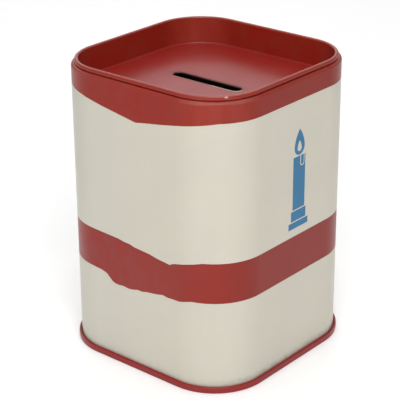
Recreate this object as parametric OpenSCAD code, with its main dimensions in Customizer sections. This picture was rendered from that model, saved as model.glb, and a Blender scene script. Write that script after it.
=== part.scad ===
// Tinplate collecting box: a rolled square body with round corners, a
// double-seamed base, and a push-in lid pressed as a shallow tray with a coin
// slot. The origin is the middle of the footprint, on the table, +Z is up and
// the slot runs along X. Profiles are drawn with x as the distance outwards
// from the body's flat side and y as the height above the table.

/* [Body] */
// Width of the body across its flat sides, outside
body_w = 90; // [70:1:120]
// Height of the body's rolled top edge above the table
body_h = 122.2; // [90:0.1:170]
// Outside radius of the upright corners
corner_r = 22.8; // [16:0.2:34]
// Thickness of the tinplate
sheet_t = 0.3; // [0.2:0.05:0.4]
// Diameter of the roll along the body's top edge
roll_d = 2.4; // [2:0.1:3.2]

/* [Side seam] */
// Width of the grooved lock seam that closes the body
lock_w = 5; // [4:0.5:8]
// Width of the groove that shows outside along the lock seam
groove_w = 0.8; // [0.4:0.1:1.4]
// Depth of that groove
groove_d = 0.12; // [0.05:0.01:0.18]

/* [Base] */
// Height of the double seam round the foot
seam_h = 2.9; // [2.2:0.1:4]
// Free space between the folded layers of the double seam
lap_gap = 0.12; // [0.05:0.01:0.14]
// Height of the base panel's underside above the table
panel_z = 3.2; // [2:0.1:8]
// Distance of the pressed step in the base panel from the body's side
step_in = 11; // [6:0.5:14]
// Height of that step
step_h = 0.8; // [0.4:0.1:1.6]

/* [Lid] */
// Width of the lid's rolled rim
rim_w = 1.6; // [1.4:0.1:2.4]
// Height of the straight outer side of the rim
rim_side = 0.5; // [0.2:0.1:1.5]
// Depth of the tray from the top of the rim to the tray's floor
tray_depth = 11.9; // [8:0.1:25]
// Inside radius between the tray's wall and its floor
tray_r = 0.8; // [0.6:0.1:3]
// Gap between the tray's wall and the body's roll
plug_gap = 0.28; // [0.2:0.01:0.5]
// Gap between the lid's rim and the body's roll
seat_gap = 0.12; // [0.05:0.01:0.3]

/* [Coin slot] */
// Length of the coin slot
slot_l = 34.4; // [26:0.2:42]
// Clear width of the coin slot
slot_w = 4.8; // [4.1:0.1:6]
// Radius of the slot's turned-down edge
slot_r = 0.5; // [0.5:0.05:1.2]

/* [Hidden] */
$fn = 64;
half_w = body_w / 2;
side_l = body_w - 2 * corner_r;

// How far a swept edge runs on into the flat sheet that it carries
sheet_lap = 2 * sheet_t;

// Roll along the body's top edge
roll_r = roll_d / 2;
roll_z = body_h - roll_r;
roll_end = 260;

// Lock seam: the folded edges lie inside the body, between base and roll
lock_t = 3 * sheet_t;
lock_clear = 0.6;
lock_foot = panel_z + sheet_t + lock_clear;
lock_top = roll_z - roll_r - lock_clear;

// Double seam, layer by layer from the middle outwards: base wall, body wall,
// base hook, body hook, outer wall
base_wall_out = -sheet_t - lap_gap;
base_wall_in = base_wall_out - sheet_t;
base_hook_in = lap_gap;
body_hook_in = base_hook_in + sheet_t + lap_gap;
seam_in = body_hook_in + sheet_t + lap_gap;
seam_out = seam_in + sheet_t;
hook_r = (body_hook_in + 2 * sheet_t) / 2;
body_foot = sheet_t + lap_gap;
body_turn_z = body_foot + hook_r;
base_turn_r = (seam_out - base_hook_in) / 2;
base_turn_z = seam_h - base_turn_r;
foot_r = sheet_t + 0.2;
panel_r = sheet_t + 0.5;
panel_edge = base_wall_out - panel_r;

// Lid
plug_out = -roll_d - plug_gap;
plug_in = plug_out - sheet_t;
rim_r = rim_w / 2;
rim_x = plug_in + rim_r;
rim_out = plug_in + rim_w;
rim_end = 250;
rolls_apart = roll_r + rim_r + seat_gap;
rolls_dx = rim_x + roll_r;
rim_foot_z = roll_z + sqrt(rolls_apart * rolls_apart - rolls_dx * rolls_dx);
rim_crown_z = rim_foot_z + rim_side;
rim_top = rim_crown_z + rim_r;
floor_top = rim_top - tray_depth;
floor_edge = plug_in - tray_r;

// A square with round corners, its sides moved outwards by grow
module round_square(grow) {
    for (turn = [0, 90])
        rotate(turn)
            square([body_w + 2 * grow, side_l], center = true);
    for (turn = [0:90:270])
        rotate(turn)
            translate([side_l / 2, side_l / 2])
                circle(corner_r + grow);
}

// Carries a profile once round the body
module around_body() {
    for (turn = [0:90:270])
        rotate(turn) {
            translate([half_w, side_l / 2, 0])
                rotate([90, 0, 0])
                    linear_extrude(side_l)
                        children();
            translate([side_l / 2, side_l / 2, 0])
                rotate_extrude(angle = 90)
                    translate([corner_r, 0])
                        children();
        }
}

// Carries a profile once round the coin slot, its x measured from the slot's
// clear edge
module around_slot() {
    straight = slot_l - slot_w;
    for (turn = [0, 180])
        rotate(turn) {
            translate([straight / 2, slot_w / 2, 0])
                rotate([90, 0, -90])
                    mirror([1, 0, 0])
                        linear_extrude(straight)
                            children();
            translate([straight / 2, 0, 0])
                rotate([0, 0, -90])
                    rotate_extrude(angle = 180)
                        translate([slot_w / 2, 0])
                            children();
        }
}

// The slot's outline, moved outwards by grow
module slot_outline(grow) {
    straight = slot_l - slot_w;
    square([straight, slot_w + 2 * grow], center = true);
    for (side = [-1, 1])
        translate([side * straight / 2, 0])
            circle(slot_w / 2 + grow);
}

// A bent sheet in a profile: outside radius r, from one angle to another, at
// most 90 degrees apart
module bend(r, from, to) {
    reach = 2 * r;
    intersection() {
        difference() {
            circle(r);
            circle(r - sheet_t);
        }
        polygon([
            [0, 0],
            reach * [cos(from), sin(from)],
            reach * [cos(to), sin(to)]
        ]);
    }
}

// A rectangle in a profile
module strip(left, foot, right, top) {
    translate([left, foot])
        square([right - left, top - foot]);
}

// From the roll along the top edge, down the body's wall, to the foot that is
// turned outwards and up into the double seam
module body_profile() {
    translate([-roll_r, roll_z]) {
        bend(roll_r, 0, 90);
        bend(roll_r, 90, 180);
        bend(roll_r, 180, roll_end);
    }
    strip(-sheet_t, body_turn_z, 0, roll_z);
    translate([hook_r - sheet_t, body_turn_z]) {
        bend(hook_r, 180, 270);
        bend(hook_r, 270, 360);
    }
    strip(body_hook_in, body_turn_z, body_hook_in + sheet_t, base_turn_z);
}

// The lock seam's folded layers, inside the middle of the -X side
module lock_layers() {
    translate([-half_w, 0, lock_foot])
        linear_extrude(lock_top - lock_foot)
            polygon([
                [sheet_t / 2, -lock_w / 2],
                [sheet_t / 2, lock_w / 2],
                [sheet_t, lock_w / 2],
                [sheet_t + lock_t, lock_w / 2 - sheet_t],
                [sheet_t + lock_t, sheet_t - lock_w / 2],
                [sheet_t, -lock_w / 2]
            ]);
}

module lock_groove() {
    translate([-half_w - groove_d, lock_w / 2 - groove_w, lock_foot])
        cube([2 * groove_d, groove_w, lock_top - lock_foot]);
}

module body_shell() {
    color("antiquewhite")
        difference() {
            union() {
                around_body()
                    body_profile();
                lock_layers();
            }
            lock_groove();
        }
}

// From the base hook, over the body's hook, down the outside, under the foot,
// up inside the body and into the panel as far as its pressed step
module base_profile() {
    strip(base_hook_in, body_turn_z, base_hook_in + sheet_t, base_turn_z);
    translate([seam_out - base_turn_r, base_turn_z]) {
        bend(base_turn_r, 0, 90);
        bend(base_turn_r, 90, 180);
    }
    strip(seam_in, foot_r, seam_out, base_turn_z);
    translate([seam_out - foot_r, foot_r])
        bend(foot_r, 270, 360);
    strip(base_wall_in + foot_r, 0, seam_out - foot_r, sheet_t);
    translate([base_wall_in + foot_r, foot_r])
        bend(foot_r, 180, 270);
    strip(base_wall_in, foot_r, base_wall_out, panel_z + sheet_t - panel_r);
    translate([panel_edge, panel_z + sheet_t - panel_r])
        bend(panel_r, 0, 90);
    strip(-step_in, panel_z, panel_edge, panel_z + sheet_t);
    polygon([
        [-step_in, panel_z],
        [-step_in, panel_z + sheet_t],
        [-step_in - step_h, panel_z + step_h + sheet_t],
        [-step_in - step_h - sheet_lap, panel_z + step_h + sheet_t],
        [-step_in - step_h - sheet_lap, panel_z + step_h],
        [-step_in - step_h, panel_z + step_h]
    ]);
}

module base_plate() {
    color("firebrick") {
        around_body()
            base_profile();
        translate([0, 0, panel_z + step_h])
            linear_extrude(sheet_t)
                round_square(-step_in - step_h);
    }
}

// From the rolled rim down the tray's wall to the edge of its floor
module lid_profile() {
    translate([rim_x, rim_foot_z]) {
        bend(rim_r, rim_end, 270);
        bend(rim_r, 270, 360);
    }
    strip(rim_out - sheet_t, rim_foot_z, rim_out, rim_crown_z);
    translate([rim_x, rim_crown_z]) {
        bend(rim_r, 0, 90);
        bend(rim_r, 90, 180);
    }
    strip(plug_in, floor_top + tray_r, plug_out, rim_crown_z);
    translate([floor_edge, floor_top + tray_r])
        bend(tray_r + sheet_t, 270, 360);
    strip(floor_edge - sheet_lap, floor_top - sheet_t, floor_edge, floor_top);
}

module slot_lip_profile() {
    translate([slot_r, floor_top - slot_r])
        bend(slot_r, 90, 180);
    strip(slot_r, floor_top - sheet_t, slot_r + sheet_lap, floor_top);
}

module lid() {
    color("firebrick") {
        around_body()
            lid_profile();
        translate([0, 0, floor_top - sheet_t])
            linear_extrude(sheet_t)
                difference() {
                    round_square(floor_edge);
                    slot_outline(slot_r);
                }
        around_slot()
            slot_lip_profile();
    }
}

body_shell();
base_plate();
lid();
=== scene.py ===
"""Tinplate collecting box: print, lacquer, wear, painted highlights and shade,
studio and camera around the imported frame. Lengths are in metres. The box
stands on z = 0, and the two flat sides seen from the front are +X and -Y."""

import math

import bpy
from mathutils import Matrix, Vector


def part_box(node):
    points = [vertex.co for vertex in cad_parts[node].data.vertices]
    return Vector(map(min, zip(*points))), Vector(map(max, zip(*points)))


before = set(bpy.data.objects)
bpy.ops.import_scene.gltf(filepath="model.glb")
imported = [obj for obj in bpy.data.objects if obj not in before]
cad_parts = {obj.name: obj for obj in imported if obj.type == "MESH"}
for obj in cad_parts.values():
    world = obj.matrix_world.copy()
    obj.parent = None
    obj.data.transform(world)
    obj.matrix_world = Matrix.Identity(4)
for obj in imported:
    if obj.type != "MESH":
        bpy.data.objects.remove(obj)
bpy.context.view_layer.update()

MM = 0.001

# The sheet metal that the finishes follow
BODY_W = 90 * MM
HALF_W = BODY_W / 2
CORNER_R = 22.8 * MM
SHEET_T = 0.3 * MM
BODY_ROLL_R = 1.2 * MM
RIM_ROLL_R = 0.8 * MM
TRAY_DEPTH = 11.9 * MM
TRAY_R = 0.8 * MM
SLOT_L = 34.4 * MM
SLOT_W = 4.8 * MM

body_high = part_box("body_shell")[1]
base_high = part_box("base_plate")[1]
lid_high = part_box("lid")[1]
body_roll_z = body_high.z - BODY_ROLL_R
floor_top = lid_high.z - TRAY_DEPTH
floor_mid = floor_top - SHEET_T / 2


# ---------------------------------------------------------------- node maths

class Number:
    """A number in a material's node tree. Arithmetic on it adds Math nodes, and
    a comparison gives 1 or 0."""

    def __init__(self, tree, socket):
        self.tree = tree
        self.socket = socket

    def node(self, operation, *others):
        made = self.tree.nodes.new("ShaderNodeMath")
        made.operation = operation
        plug(self.tree, made.inputs[0], self)
        for socket, other in zip(made.inputs[1:], others):
            plug(self.tree, socket, other)
        return Number(self.tree, made.outputs[0])

    def __add__(self, other):
        return self.node("ADD", other)

    def __sub__(self, other):
        return self.node("SUBTRACT", other)

    def __mul__(self, other):
        return self.node("MULTIPLY", other)

    def __truediv__(self, other):
        return self.node("DIVIDE", other)

    def __lt__(self, other):
        return self.node("LESS_THAN", other)

    def __gt__(self, other):
        return self.node("GREATER_THAN", other)

    def __abs__(self):
        return self.node("ABSOLUTE")

    def least(self, other):
        return self.node("MINIMUM", other)

    def most(self, other):
        return self.node("MAXIMUM", other)

    def opposite(self):
        return self * -1 + 1

    def between(self, low, high):
        return (self > low) * (self < high)

    def length_with(self, other):
        return (self * self + other * other).node("SQRT")

    def ramp(self, start, end, low=0.0, high=1.0):
        """low up to start, then in a straight line to high at end."""
        made = self.tree.nodes.new("ShaderNodeMapRange")
        for name, value in (("Value", self), ("From Min", start), ("From Max", end),
                            ("To Min", low), ("To Max", high)):
            plug(self.tree, made.inputs[name], value)
        return Number(self.tree, made.outputs["Result"])


def plug(tree, socket, value):
    """Links a Number or a socket into a node's input, or sets a constant."""
    if isinstance(value, Number):
        value = value.socket
    if isinstance(value, bpy.types.NodeSocket):
        tree.links.new(value, socket)
    elif isinstance(value, tuple) and socket.type == "RGBA":
        socket.default_value = (*value, 1)
    else:
        socket.default_value = value


def new_material(name):
    """An empty node material: (material, tree, Principled shader)."""
    material = bpy.data.materials.new(name)
    material.use_nodes = True
    tree = material.node_tree
    return material, tree, tree.nodes["Principled BSDF"]


def split_axes(tree, vector):
    """A vector socket's x, y and z."""
    split = tree.nodes.new("ShaderNodeSeparateXYZ")
    tree.links.new(vector, split.inputs[0])
    return [Number(tree, output) for output in split.outputs]


def object_place(tree):
    """The object's own coordinates: [vector socket, x, y, z]."""
    vector = tree.nodes.new("ShaderNodeTexCoord").outputs["Object"]
    return [vector] + split_axes(tree, vector)


def facing_up(tree):
    """How far the surface faces up, from -1 to 1."""
    return split_axes(tree, tree.nodes.new("ShaderNodeNewGeometry").outputs["Normal"])[2]


def noise(tree, vector, size, detail=2, roughness=0.5, stretch=(1, 1, 1)):
    """Cloudy noise from 0 to 1 with patches of about that size."""
    mapping = tree.nodes.new("ShaderNodeMapping")
    mapping.inputs["Scale"].default_value = stretch
    tree.links.new(vector, mapping.inputs["Vector"])
    made = tree.nodes.new("ShaderNodeTexNoise")
    made.inputs["Scale"].default_value = 1 / size
    made.inputs["Detail"].default_value = detail
    made.inputs["Roughness"].default_value = roughness
    tree.links.new(mapping.outputs[0], made.inputs["Vector"])
    return Number(tree, made.outputs["Fac"])


# Contrasts of patches: the noise up to which a patch has its low value, and
# the noise from which it has its high value
SOFTEST = (0.25, 0.75)
SOFT = (0.3, 0.7)
INKED = (0.32, 0.68)
FIRM = (0.35, 0.65)
MOSTLY_HIGH = (0.35, 0.6)
MOSTLY_LOW = (0.46, 0.68)
SPOTS = (0.5, 0.58)


def patches(tree, vector, size, low, high, contrast=SOFT, **grain):
    """Noise that is stretched to lie between low and high."""
    return noise(tree, vector, size, **grain).ramp(*contrast, low, high)


def mix(tree, factor, first, second):
    """Colour mix: first where the factor is 0, second where it is 1."""
    made = tree.nodes.new("ShaderNodeMix")
    made.data_type = "RGBA"
    plug(tree, made.inputs["Factor"], factor)
    for name, value in (("A", first), ("B", second)):
        socket = next(s for s in made.inputs if s.name == name and s.type == "RGBA")
        plug(tree, socket, value)
    return next(s for s in made.outputs if s.type == "RGBA")


def scale_colour(tree, colour, factor):
    """A colour made lighter or darker by a Number."""
    made = tree.nodes.new("ShaderNodeVectorMath")
    made.operation = "SCALE"
    plug(tree, made.inputs[0], colour)
    plug(tree, made.inputs["Scale"], factor)
    return made.outputs[0]


def bump(tree, height):
    """A normal for a height in metres."""
    made = tree.nodes.new("ShaderNodeBump")
    made.inputs["Strength"].default_value = 1
    made.inputs["Distance"].default_value = 1
    plug(tree, made.inputs["Height"], height)
    return made.outputs[0]


def side_offset(x, y):
    """Distance outwards from the flat or round side of the body."""
    out_x = abs(x) - (HALF_W - CORNER_R)
    out_y = abs(y) - (HALF_W - CORNER_R)
    outside = out_x.most(0).length_with(out_y.most(0))
    return outside + out_x.most(out_y).least(0) - CORNER_R


def into_corner(x, y):
    """How far a place lies round an upright corner: the smaller of its
    distances from the two middle planes. The middle of the corner has most."""
    return abs(x).least(abs(y))


# ---------------------------------------------------------------- sheet metal

CREAM = (0.561, 0.524, 0.440)
CREAM_COOL = (0.530, 0.511, 0.441)
RED_CLEAR = (0.256, 0.0130, 0.0055)
RED_DULL = (0.243, 0.0200, 0.0110)
RED_SCUFFED = (0.205, 0.050, 0.053)
RED_HIGHLIGHT = (0.290, 0.034, 0.021)
RED_COOL = (0.222, 0.018, 0.030)
RED_FADED = (0.258, 0.0290, 0.0225)
BLUE = (0.031, 0.158, 0.305)
# Dirt on the base's seam, and the colour of the dirt and painted shade above the foot seam
DIRT_AND_SHADE = (0.115, 0.070, 0.048)
# The colour of the painted shade and dirt round the slot
SLOT_SHADE_AND_DIRT = (0.060, 0.034, 0.030)
# Bare tin, and the colour that painted highlights are mixed towards
TIN_AND_HIGHLIGHT = (0.66, 0.63, 0.57)

LACQUER_IOR = 1.36
BODY_GLOSS, RED_GLOSS = 0.37, 0.5
LACQUER_ROUGHNESS, TIN_ROUGHNESS = 0.32, 0.36
SMOOTHER, ROUGHER = 0.03, 0.04

CLOUD_SIZE, CLOUD_TONE = 26 * MM, 0.025
GRAIN_SIZE, GRAIN_TONE = 0.35 * MM, 0.015
SMEAR_SIZE = 9 * MM
# The marks that rolling left in the bare sheet run up and down
ROLLED_SIZE, ROLLED_STRETCH = 1.5 * MM, (1, 1, 0.08)
WAVE_SIZE, WAVE_DEPTH = 34 * MM, 0.09 * MM
PEEL_SIZE, PEEL_DEPTH = 1.1 * MM, 0.00135 * MM

# Where red ink is painted paler round a corner as a highlight, and the streaks in it
PALE_FROM, PALE_TO = HALF_W - CORNER_R, HALF_W - 0.6 * CORNER_R
STREAK_SIZE, STREAK_STRETCH, STREAK_LEAST = 6 * MM, (1, 1, 0.3), 0.5

# Chips: spots where one noise is high, in stretches where another is high
CHIP_SIZE, CHIP_ABOVE = 1.1 * MM, 0.69
BATTERED_SIZE, BATTERED_ABOVE, BATTERED_SPREAD = 17 * MM, 0.62, 0.2


def red_ink(tree, x, y, vector, size, highlight_share):
    """Red ink with uneven cover, in patches of about that size. Towards the
    middle of a corner it has a painted highlight, paler as far as the last argument says."""
    cover = patches(tree, vector, size, 0, 1, INKED, detail=3, roughness=0.55)
    ink = mix(tree, cover, RED_CLEAR, RED_DULL)
    corner = into_corner(x, y).ramp(PALE_FROM, PALE_TO)
    streaks = patches(
        tree, vector, STREAK_SIZE, STREAK_LEAST, 1, MOSTLY_HIGH, detail=3, stretch=STREAK_STRETCH)
    return mix(tree, corner * streaks * highlight_share, ink, RED_HIGHLIGHT)


def chips(tree, vector, share):
    """1 in small spots where the lacquer is knocked off. A higher share, from
    0 to 1, gives more stretches with such spots."""
    spot = noise(tree, vector, CHIP_SIZE, roughness=0.6)
    battered = noise(tree, vector, BATTERED_SIZE, detail=1)
    return (spot > CHIP_ABOVE) * (battered > BATTERED_ABOVE - BATTERED_SPREAD * share)


def sheet_finish(tree, shader, vector, ink, printed, gloss, dulled=None, height=None):
    """Printed and varnished tinplate where printed is 1, bare tin where it is
    0, with the ink's fine grain, uneven varnish and the sheet's slight waves.
    The varnish is rougher by dulled, and a height in metres is added to the
    waves."""
    cloud = patches(tree, vector, CLOUD_SIZE, 1 - CLOUD_TONE, 1 + CLOUD_TONE, SOFTEST, detail=3)
    grain = patches(tree, vector, GRAIN_SIZE, 1 - GRAIN_TONE, 1 + GRAIN_TONE, detail=1)
    toned = scale_colour(tree, ink, cloud * grain)
    plug(tree, shader.inputs["Base Color"], mix(tree, printed, TIN_AND_HIGHLIGHT, toned))
    plug(tree, shader.inputs["Metallic"], printed.opposite())
    shader.inputs["IOR"].default_value = LACQUER_IOR
    shader.inputs["Specular IOR Level"].default_value = gloss
    varnish = patches(tree, vector, SMEAR_SIZE, LACQUER_ROUGHNESS - SMOOTHER,
                      LACQUER_ROUGHNESS + ROUGHER, detail=4, roughness=0.6)
    if dulled is not None:
        varnish = varnish + dulled
    bare = patches(tree, vector, ROLLED_SIZE, TIN_ROUGHNESS - SMOOTHER,
                   TIN_ROUGHNESS + ROUGHER, stretch=ROLLED_STRETCH)
    plug(tree, shader.inputs["Roughness"], varnish * printed + bare * printed.opposite())
    waves = noise(tree, vector, WAVE_SIZE, detail=0) * WAVE_DEPTH
    relief = waves + noise(tree, vector, PEEL_SIZE, detail=1) * PEEL_DEPTH
    if height is not None:
        relief = relief + height
    plug(tree, shader.inputs["Normal"], bump(tree, relief))


# ---------------------------------------------------------------- candle

# The blue candle on the +X side: a dish, a cup and the wax, each a bar above
# the one before, then the flame with a clear core
CANDLE_Y = 2.4 * MM
CANDLE_FOOT = 60.2 * MM
DISH_W, DISH_H = 12.6 * MM, 2.8 * MM
CUP_W, CUP_H = 9.6 * MM, 4.4 * MM
WAX_W, WAX_H = 7.8 * MM, 22.4 * MM
DRIP_W, DRIP_H = 2.7 * MM, 4.6 * MM
FLAME_R, FLAME_H = 3.3 * MM, 7.6 * MM
CORE_R, CORE_H, CORE_DROP = 1.3 * MM, 3.2 * MM, 0.5 * MM
LINE_W = 0.45 * MM
# How full a flame is on its way up to the point: 0 gives straight sides
FLAME_FULLNESS = 0.9


def bar(y, z, foot, width, height):
    """1 inside an upright rectangle."""
    return (abs(y) < width / 2) * z.between(foot, foot + height)


def drop(y, z, middle, radius, height):
    """1 inside a flame: a half circle below, drawn up to a point."""
    rise = (z - middle) / height
    narrowing = (rise.opposite() * (rise * FLAME_FULLNESS + 1)).most(0)
    upper = (abs(y) < narrowing * radius) * (z > middle)
    lower = (y.length_with(z - middle) < radius) * (z < middle)
    return upper.most(lower)


def candle(x, y, z):
    """1 inside the candle's blue ink."""
    across = y - CANDLE_Y
    cup_foot = CANDLE_FOOT + DISH_H + LINE_W
    wax_foot = cup_foot + CUP_H + LINE_W
    wax_top = wax_foot + WAX_H
    flame_z = wax_top + LINE_W + FLAME_R
    ink = bar(across, z, CANDLE_FOOT, DISH_W, DISH_H)
    ink = ink.most(bar(across, z, cup_foot, CUP_W, CUP_H))
    ink = ink.most(bar(across, z, wax_foot, WAX_W, WAX_H))
    ink = ink.most(drop(across, z, flame_z, FLAME_R, FLAME_H))
    core = drop(across, z, flame_z - CORE_DROP, CORE_R, CORE_H)
    # A run of wax is drawn as a U-shaped line from the top of the wax
    below = (z - (wax_top - DRIP_H + DRIP_W / 2)).least(0)
    from_run = (across - WAX_W / 4).length_with(below)
    drip = from_run.between(DRIP_W / 2 - LINE_W, DRIP_W / 2) * (z < wax_top)
    return ink * core.most(drip).opposite() * (x > 0)


# ---------------------------------------------------------------- body

TOP_BAND_FOOT = 113.95 * MM
BELT_TOP = 56.8 * MM
BELT_FOOT = 39.65 * MM

# Where the bands' edges leave their level on the -Y side: x, and how far the
# edge lies below its level there, in millimetres
TOP_BAND_DIP = [
    (-34, 0), (-27, 0.8), (-16, 3.1), (-6, 4.7), (2.2, 6.0), (5, 5.45), (15, 3.85),
    (24, 2.2), (38, 0),
]
BELT_TOP_DIP = [
    (-24, 0), (-9, 0.7), (-6, 1.2), (-3, 1.35), (0, 2.0), (8, 2.6), (12, 3.35),
    (18.5, 3.95), (19.3, 3.4), (21, 2.75), (33, 0),
]
BELT_FOOT_DIP = [
    (-24, 0), (-19, 0.4), (-16, 1.1), (-13, 3.7), (-11.5, 4.3), (-9.5, 4.45), (-7, 4.15),
    (-4, 4.45), (-1.3, 4.05), (0.9, 3.4), (3.3, 3.4), (6, 2.8), (11.5, 2.0), (14.3, 1.3),
    (17, 1.65), (20, 1.45), (23, 1.4), (28.6, 0),
]

# The -Y side is aged towards its far edge, the one at -X
AGED_FROM, AGED_TO, AGED_SHARE = -12 * MM, 22 * MM, 0.8
# Painted light on the +X side: the cream is painted lighter there, and the red darker as painted
# shade
SIDE_FROM, SIDE_TO = 36 * MM, 44 * MM
CREAM_LIT_ON_SIDE, RED_SHADED_ON_SIDE = 1.035, 0.92

CREAM_PATCH, CREAM_COOLED = 15 * MM, 0.6
BAND_PATCH = 7 * MM
SCUFF_SIZE, SCUFF_STRETCH, SCUFF_SHARE = 5 * MM, (1, 1, 0.4), 0.62
# The belt is faded and scuffed more than the top band, and its corners have less painted
# highlight
BELT_FADED, BELT_CORNER_HIGHLIGHT = 0.6, 0.1
TOP_BAND_SCUFFS, TOP_BAND_CORNER_HIGHLIGHT = 0.35, 0.8

# How strong the painted highlight on the roll is: along the sides, beside the
# middle of a corner, and what is left of that at the middle itself
ROLL_HIGHLIGHT, FLANK_HIGHLIGHT, MIDDLE_SHARE = 0.022, 0.06, 0.2
FLANK_AT, FLANK_END, MIDDLE_AT = 30 * MM, 32 * MM, 38 * MM
ROLL_HIGHLIGHT_FROM, ROLL_HIGHLIGHT_TO = -0.2 * MM, 0.3 * MM

# Dirt and painted shade above the foot seam: a thick line and a thin film over it,
# how high each reaches and how much it covers, how uneven they are, and how much
# of them there is away from the +X side
FOOT_DARK_LINE_H, FOOT_DARK_LINE_SHARE = 1.3 * MM, 0.13
FOOT_DARK_FILM_H, FOOT_DARK_FILM_SHARE = 8 * MM, 0.035
FOOT_DARK_PATCH, FOOT_DARK_UNEVEN = 2 * MM, 0.5
FOOT_DARK_ELSEWHERE = 0.3

# How far below the roll the print on it may start, and how far inside the
# wall's outer face the roll's own sheet begins
BELOW_ROLL = 0.1 * MM
INSIDE_WALL = 1.5 * SHEET_T


def band_edge(x, y, level, dips):
    """Height of a band's edge, which dips below its level on the -Y side."""
    steps = [
        x.ramp(start * MM, end * MM, 0, (low - high) * MM)
        for (start, high), (end, low) in zip(dips, dips[1:])
    ]
    dip = sum(steps[1:], steps[0]) * (y < 0)
    return dip * -1 + level


def by_band(z, on_belt, on_top_band):
    """One value on the belt, another on the top band."""
    return z.ramp(BELT_TOP, TOP_BAND_FOOT, on_belt, on_top_band)


def by_side(x, elsewhere, on_side):
    """One value on the +X side, another elsewhere."""
    return x.ramp(SIDE_FROM, SIDE_TO, elsewhere, on_side)


def cream_ink(tree, x, vector, aged):
    """The cream ground, cooler in patches and where it is aged, and painted lighter on the +X
    side.
    """
    cooled = patches(tree, vector, CREAM_PATCH, 0, CREAM_COOLED, FIRM, detail=3)
    cream = mix(tree, cooled.most(aged), CREAM, CREAM_COOL)
    return scale_colour(tree, cream, by_side(x, 1, CREAM_LIT_ON_SIDE))


def band_ink(tree, x, y, z, vector, aged):
    """The red of the top band and the belt, with their wear, painted highlights round the corners
    and on the roll, and painted shade on the +X side.
    """
    corner_highlight = by_band(z, BELT_CORNER_HIGHLIGHT, TOP_BAND_CORNER_HIGHLIGHT)
    ink = red_ink(tree, x, y, vector, BAND_PATCH, corner_highlight)
    ink = mix(tree, by_band(z, BELT_FADED, 0), ink, RED_FADED)
    scuffs = patches(tree, vector, SCUFF_SIZE, 0, SCUFF_SHARE, MOSTLY_LOW,
                     detail=4, roughness=0.6, stretch=SCUFF_STRETCH)
    ink = mix(tree, scuffs * by_band(z, 1, TOP_BAND_SCUFFS) * aged, ink, RED_SCUFFED)
    # Painted shade on the +X side
    ink = scale_colour(tree, ink, by_side(x, 1, RED_SHADED_ON_SIDE))
    # A painted highlight on the roll
    inner = into_corner(x, y)
    highlit = inner.ramp(HALF_W - CORNER_R, FLANK_AT, ROLL_HIGHLIGHT, FLANK_HIGHLIGHT)
    highlit = highlit * inner.ramp(FLANK_END, MIDDLE_AT, 1, MIDDLE_SHARE)
    highlit = highlit * z.ramp(body_roll_z + ROLL_HIGHLIGHT_FROM, body_roll_z + ROLL_HIGHLIGHT_TO)
    return mix(tree, highlit, ink, TIN_AND_HIGHLIGHT)


def foot_shade_and_dirt(tree, x, z, vector):
    """How much of the print the dirt and painted shade above the foot seam cover."""
    line = z.ramp(base_high.z, base_high.z + FOOT_DARK_LINE_H, FOOT_DARK_LINE_SHARE, 0)
    film = z.ramp(base_high.z, base_high.z + FOOT_DARK_FILM_H, FOOT_DARK_FILM_SHARE, 0)
    uneven = patches(tree, vector, FOOT_DARK_PATCH, 1 - FOOT_DARK_UNEVEN, 1 + FOOT_DARK_UNEVEN, FIRM, detail=3)
    return (line + film) * uneven * by_side(x, FOOT_DARK_ELSEWHERE, 1)


def body_printed(x, y, z):
    """1 on the sheet's outer side, which the roll turns inwards, 0 inside."""
    offset = side_offset(x, y)
    outside = offset > -SHEET_T / 2
    from_roll = (offset + BODY_ROLL_R).length_with(z - body_roll_z)
    roll_foot = body_roll_z - BODY_ROLL_R - BELOW_ROLL
    on_roll = (from_roll > BODY_ROLL_R - SHEET_T / 2) * (z > roll_foot)
    past_wall = (z > body_roll_z).most(offset < -INSIDE_WALL)
    return outside.most(on_roll * past_wall)


def body_finish():
    """Cream with two red bands and the candle, bare inside."""
    material, tree, shader = new_material("printed_tinplate")
    vector, x, y, z = object_place(tree)
    aged = x.ramp(AGED_FROM, AGED_TO, AGED_SHARE, 0) * (y < 0)
    ink = mix(tree, candle(x, y, z), cream_ink(tree, x, vector, aged), BLUE)
    in_top_band = z > band_edge(x, y, TOP_BAND_FOOT, TOP_BAND_DIP)
    belt_foot = band_edge(x, y, BELT_FOOT, BELT_FOOT_DIP)
    in_belt = z.between(belt_foot, band_edge(x, y, BELT_TOP, BELT_TOP_DIP))
    ink = mix(tree, in_top_band.most(in_belt), ink, band_ink(tree, x, y, z, vector, aged))
    # Dirt and painted shade above the foot seam
    ink = mix(tree, foot_shade_and_dirt(tree, x, z, vector), ink, DIRT_AND_SHADE)
    sheet_finish(tree, shader, vector, ink, body_printed(x, y, z), BODY_GLOSS)
    return material


# ---------------------------------------------------------------- lid

# The lid's red against the body's, how much cooler it is on the tray's floor,
# and how strong the painted highlight is where the wall was drawn round the corners
LID_RED = 1.04
LID_PATCH = 9 * MM
FLOOR_COOL = 0.2
WALL_HIGHLIGHT, WALL_INSET = 0.9, 1 * MM

# How far below its top the wall begins to show under the rolled rim
RIM_H = 2.4 * MM
# The rim's crown: how deep its chips and its painted highlight reach
CHIPPED_H, CROWN_CHIPS = 0.35 * MM, 0.1
CROWN_FROM, CROWN_TO, CROWN_HIGHLIGHT = 0.5 * MM, 0.15 * MM, 0.1
CROWN_HIGHLIGHT_SIZE, CROWN_HIGHLIGHT_LEAST, CROWN_HIGHLIGHT_MOST = 4 * MM, 0.6, 1.2

# A knock on the rim's front corner
KNOCK_X, KNOCK_Y, KNOCK_Z = 38.95 * MM, -35.4 * MM, 123.7 * MM
KNOCK_W, KNOCK_H, KNOCK_SHARE = 1.5 * MM, 0.6 * MM, 0.5

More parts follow.
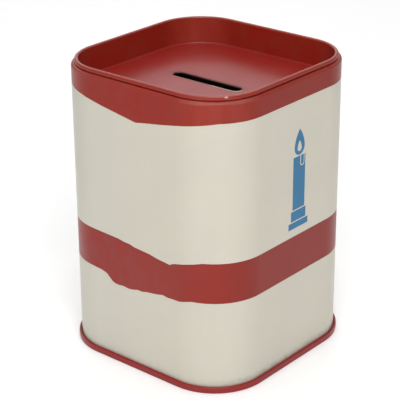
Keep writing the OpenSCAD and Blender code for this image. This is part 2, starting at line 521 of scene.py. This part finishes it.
# Painted shade and dirt round the slot: a dark line along the edge, and a wider
# halo. It makes the lacquer rougher
SLOT_DARK_FROM, SLOT_DARK_TO, SLOT_DARK_SHARE = 0.2 * MM, 0.6 * MM, 0.9
SLOT_HALO_W, SLOT_HALO_SHARE = 3.2 * MM, 0.27
RAGGED_SIZE, RAGGED_W = 1.3 * MM, 0.25 * MM
SLOT_DARK_DULLS = 0.2

# The ripples that piercing the slot left beside its -X end
RIPPLE_X, RIPPLE_Y = -16.9 * MM, -0.8 * MM
RIPPLE_PITCH, RIPPLE_DEPTH, RIPPLE_REACH = 1.2 * MM, 0.03 * MM, 5.0 * MM
# How dark the ripples' rings are painted, as painted shade
RIPPLE_SHADE = 0.9

# A painted highlight lies along the slot's -Y edge towards its +X end. It comes
# in along X between the first two values, and away from the slot it begins and
# ends over the distances in the two pairs
EDGE_HIGHLIGHT_FROM, EDGE_HIGHLIGHT_TO = 2 * MM, 8 * MM
EDGE_HIGHLIGHT_PATCH, EDGE_HIGHLIGHT_LEAST, EDGE_HIGHLIGHT_MOST = 2.2 * MM, 0.3, 0.8
EDGE_HIGHLIGHT_BEGINS = (0.25 * MM, 0.45 * MM)
EDGE_HIGHLIGHT_ENDS = (0.6 * MM, 1.1 * MM)


def slot_offset(x, y):
    """Distance outwards from the slot's clear edge."""
    past_straight = (abs(x) - (SLOT_L - SLOT_W) / 2).most(0)
    return past_straight.length_with(y) - SLOT_W / 2


def lid_bare(tree, x, y, z, vector, from_slot):
    """1 on the sheet's lower side, which shows below the floor and on the wall
    under the rim, and in chips along the rim's crown."""
    wall_mid = lid_high.x - 2 * RIM_ROLL_R + SHEET_T / 2 - HALF_W
    behind_wall = (side_offset(x, y) > wall_mid) * (z < lid_high.z - RIM_H)
    lower_side = (z < floor_mid).most(behind_wall) * (from_slot > SHEET_T)
    crown = z > lid_high.z - CHIPPED_H
    return lower_side.most(crown * chips(tree, vector, CROWN_CHIPS))


def rim_highlight_and_knock(tree, x, y, z, vector):
    """How far the rim's crown is painted paler as a highlight, and its knock."""
    crown_patches = patches(tree, vector, CROWN_HIGHLIGHT_SIZE, CROWN_HIGHLIGHT_LEAST, CROWN_HIGHLIGHT_MOST, detail=3)
    crown = z.ramp(lid_high.z - CROWN_FROM, lid_high.z - CROWN_TO, 0, CROWN_HIGHLIGHT)
    across = (x - KNOCK_X).length_with(y - KNOCK_Y) / (KNOCK_W / 2)
    knock = across.length_with((z - KNOCK_Z) / (KNOCK_H / 2)) < 1
    return (crown * crown_patches).most(knock * KNOCK_SHARE)


def slot_ripples(x, y):
    """Rings from -1 to 1 beside the slot's -X end, which die away outwards."""
    from_end = (x - RIPPLE_X).length_with(y - RIPPLE_Y)
    ring = (from_end * (math.tau / RIPPLE_PITCH)).node("SINE")
    return ring * from_end.ramp(0, RIPPLE_REACH, 1, 0) * (x < RIPPLE_X)


def slot_shade_and_soot(tree, vector, from_slot, ripples):
    """How much of the lacquer the painted shade and dirt round the slot cover."""
    ragged = patches(tree, vector, RAGGED_SIZE, -RAGGED_W, RAGGED_W, detail=3)
    from_dark_edge = from_slot + ragged
    shade_and_soot = from_dark_edge.ramp(SLOT_DARK_FROM, SLOT_DARK_TO, SLOT_DARK_SHARE, 0)
    halo = from_dark_edge.ramp(0, SLOT_HALO_W, SLOT_HALO_SHARE, 0)
    return shade_and_soot.most(halo).most(ripples * RIPPLE_SHADE)


def slot_edge_highlight(tree, x, y, vector, from_slot):
    """How much painted highlight lies along the slot's edge."""
    highlit = patches(tree, vector, EDGE_HIGHLIGHT_PATCH, EDGE_HIGHLIGHT_LEAST, EDGE_HIGHLIGHT_MOST, MOSTLY_HIGH, detail=3)
    highlit = highlit * x.ramp(EDGE_HIGHLIGHT_FROM, EDGE_HIGHLIGHT_TO) * (y < 0)
    at_edge = from_slot.ramp(*EDGE_HIGHLIGHT_BEGINS) * from_slot.ramp(*EDGE_HIGHLIGHT_ENDS, 1, 0)
    return at_edge * highlit


def lid_finish():
    """Red on the sheet's upper side, which is also the outside of the rolled
    rim, and bare on its lower side."""
    material, tree, shader = new_material("red_lacquer_lid")
    vector, x, y, z = object_place(tree)
    from_slot = slot_offset(x, y)
    drawn_wall = z.between(floor_top + WALL_INSET, lid_high.z - WALL_INSET)
    # A painted highlight round the drawn wall's corners
    ink = red_ink(tree, x, y, vector, LID_PATCH, drawn_wall * WALL_HIGHLIGHT)
    ink = mix(tree, (z < floor_top + TRAY_R) * FLOOR_COOL, ink, RED_COOL)
    ink = scale_colour(tree, ink, LID_RED)
    # Painted highlight on the rim's crown, and the knock
    ink = mix(tree, rim_highlight_and_knock(tree, x, y, z, vector), ink, TIN_AND_HIGHLIGHT)
    ripples = slot_ripples(x, y)
    shade_and_soot = slot_shade_and_soot(tree, vector, from_slot, ripples)
    # Painted shade and dirt round the slot, and painted shade on the ripples
    ink = mix(tree, shade_and_soot, ink, SLOT_SHADE_AND_DIRT)
    # Painted highlight along the slot's edge
    ink = mix(tree, slot_edge_highlight(tree, x, y, vector, from_slot), ink, TIN_AND_HIGHLIGHT)
    lacquered = lid_bare(tree, x, y, z, vector, from_slot).opposite()
    dulled = shade_and_soot * SLOT_DARK_DULLS
    height = ripples * RIPPLE_DEPTH
    sheet_finish(tree, shader, vector, ink, lacquered, RED_GLOSS, dulled, height)
    return material


# ---------------------------------------------------------------- base

# The base's patches, and the painted highlight round its corners
BASE_PATCH, BASE_CORNER_HIGHLIGHT = 6 * MM, 0.4
COOL_PATCH, COOL_LEAST, COOL_MOST = 12 * MM, 0.15, 0.5
# The chips are along the edge that the box stands on
EDGE_H, EDGE_CHIPS = 0.5 * MM, 0.3
# Dirt sits in spots along the seam's top: where it starts, and where it is full
SPOT_SIZE, SPOT_SHARE = 2.5 * MM, 0.65
SPOTS_FROM, SPOTS_TO = 0.9 * MM, 0.3 * MM
# The base is bare inside the box, where it faces up
SEAM_INNER = -0.6 * MM
FACES_UP = 0.3


def base_finish():
    """Red on the foot seam and below, bare inside the box."""
    material, tree, shader = new_material("red_lacquer_base")
    vector, x, y, z = object_place(tree)
    bare = (facing_up(tree) > FACES_UP) * (side_offset(x, y) < SEAM_INNER)
    bare = bare.most((z < EDGE_H) * chips(tree, vector, EDGE_CHIPS))
    cool = patches(tree, vector, COOL_PATCH, COOL_LEAST, COOL_MOST)
    ink = mix(tree, cool, red_ink(tree, x, y, vector, BASE_PATCH, BASE_CORNER_HIGHLIGHT), RED_COOL)
    spots = patches(tree, vector, SPOT_SIZE, 0, SPOT_SHARE, SPOTS, detail=3)
    seam_top = z.ramp(base_high.z - SPOTS_FROM, base_high.z - SPOTS_TO)
    ink = mix(tree, spots * seam_top, ink, DIRT_AND_SHADE)
    sheet_finish(tree, shader, vector, ink, bare.opposite(), RED_GLOSS)
    return material


for node_name, material in (
    ("body_shell", body_finish()),
    ("lid", lid_finish()),
    ("base_plate", base_finish()),
):
    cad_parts[node_name].material_slots[0].material = material


# ---------------------------------------------------------------- studio

WHITE = (1, 1, 1, 1)
FLOOR_SIZE = 24.0
FLOOR_GREY = 0.9
FLOOR_ROUGHNESS = 0.9
FLOOR_GLOSS = 0.1
FLOOR_GLOW = 0.12

# Each soft light's azimuth, elevation and power
LIGHTS = {
    "front_light": (45, 42, 12.0),
    "side_light": (0, 8, 2.9),
    "back_light": (225, 42, 3.1),
    "low_back_light": (225, 20, 1.6),
    "top_light": (0, 90, 6.4),
}
LIGHT_DISTANCE = 1.3
LIGHT_SIZE = 0.9
BACKDROP_STRENGTH = 0.24

# What the lights and the camera are aimed at
AIM = Vector((0, 0, 67.5 * MM))


def outward(azimuth, elevation):
    """Unit vector from the box; azimuth 0 is -Y and 90 is +X, in degrees."""
    a = math.radians(azimuth)
    e = math.radians(elevation)
    return Vector((math.sin(a) * math.cos(e), -math.cos(a) * math.cos(e), math.sin(e)))


def make_floor():
    """A plain pale floor under the box."""
    half = FLOOR_SIZE / 2
    mesh = bpy.data.meshes.new("floor")
    corners = [(-half, -half, 0), (half, -half, 0), (half, half, 0), (-half, half, 0)]
    mesh.from_pydata(corners, [], [(0, 1, 2, 3)])
    floor = bpy.data.objects.new("floor", mesh)
    bpy.context.collection.objects.link(floor)
    material, _, shader = new_material("floor_paper")
    shader.inputs["Base Color"].default_value = (FLOOR_GREY, FLOOR_GREY, FLOOR_GREY, 1)
    shader.inputs["Roughness"].default_value = FLOOR_ROUGHNESS
    shader.inputs["Specular IOR Level"].default_value = FLOOR_GLOSS
    shader.inputs["Emission Color"].default_value = WHITE
    shader.inputs["Emission Strength"].default_value = FLOOR_GLOW
    mesh.materials.append(material)


def make_softbox(name, azimuth, elevation, power):
    """A square soft light aimed at the box, placed by angles as the camera is."""
    direction = outward(azimuth, elevation)
    light = bpy.data.lights.new(name, "AREA")
    light.size = LIGHT_SIZE
    light.energy = power
    lamp = bpy.data.objects.new(name, light)
    lamp.location = AIM + direction * LIGHT_DISTANCE
    lamp.rotation_euler = (-direction).to_track_quat("-Z", "Y").to_euler()
    bpy.context.collection.objects.link(lamp)


def make_backdrop():
    """Even light from all round, and how colours are shown."""
    scene = bpy.context.scene
    scene.world = bpy.data.worlds.new("studio")
    scene.world.use_nodes = True
    backdrop = scene.world.node_tree.nodes["Background"]
    backdrop.inputs["Color"].default_value = WHITE
    backdrop.inputs["Strength"].default_value = BACKDROP_STRENGTH
    scene.view_settings.view_transform = "Standard"


make_floor()
for light_name, placing in LIGHTS.items():
    make_softbox(light_name, *placing)
make_backdrop()


# ---------------------------------------------------------------- camera

CAMERA_AZIMUTH = 40.371
CAMERA_ELEVATION = 23.547
CAMERA_ROLL = -0.416
CAMERA_DISTANCE = 593.2 * MM
CAMERA_RIGHT = -3.11 * MM
CAMERA_UP = -6.74 * MM
NEAREST_SEEN = 10 * MM
# These two are plain millimetres, as Blender takes them
LENS_LENGTH = 128.8
SENSOR_WIDTH = 36


def make_camera():
    """The camera that was fitted to the photo."""
    back = outward(CAMERA_AZIMUTH, CAMERA_ELEVATION)
    right = Vector((0, 0, 1)).cross(back).normalized()
    up = back.cross(right)
    roll = math.radians(CAMERA_ROLL)
    axis_x = right * math.cos(roll) + up * math.sin(roll)
    axis_y = up * math.cos(roll) - right * math.sin(roll)
    data = bpy.data.cameras.new("camera")
    data.lens = LENS_LENGTH
    data.sensor_width = SENSOR_WIDTH
    data.clip_start = NEAREST_SEEN
    camera = bpy.data.objects.new("camera", data)
    place = AIM + back * CAMERA_DISTANCE + axis_x * CAMERA_RIGHT + axis_y * CAMERA_UP
    turn = Matrix((axis_x, axis_y, back)).transposed().to_4x4()
    camera.matrix_world = Matrix.Translation(place) @ turn
    bpy.context.collection.objects.link(camera)
    bpy.context.scene.camera = camera


make_camera()
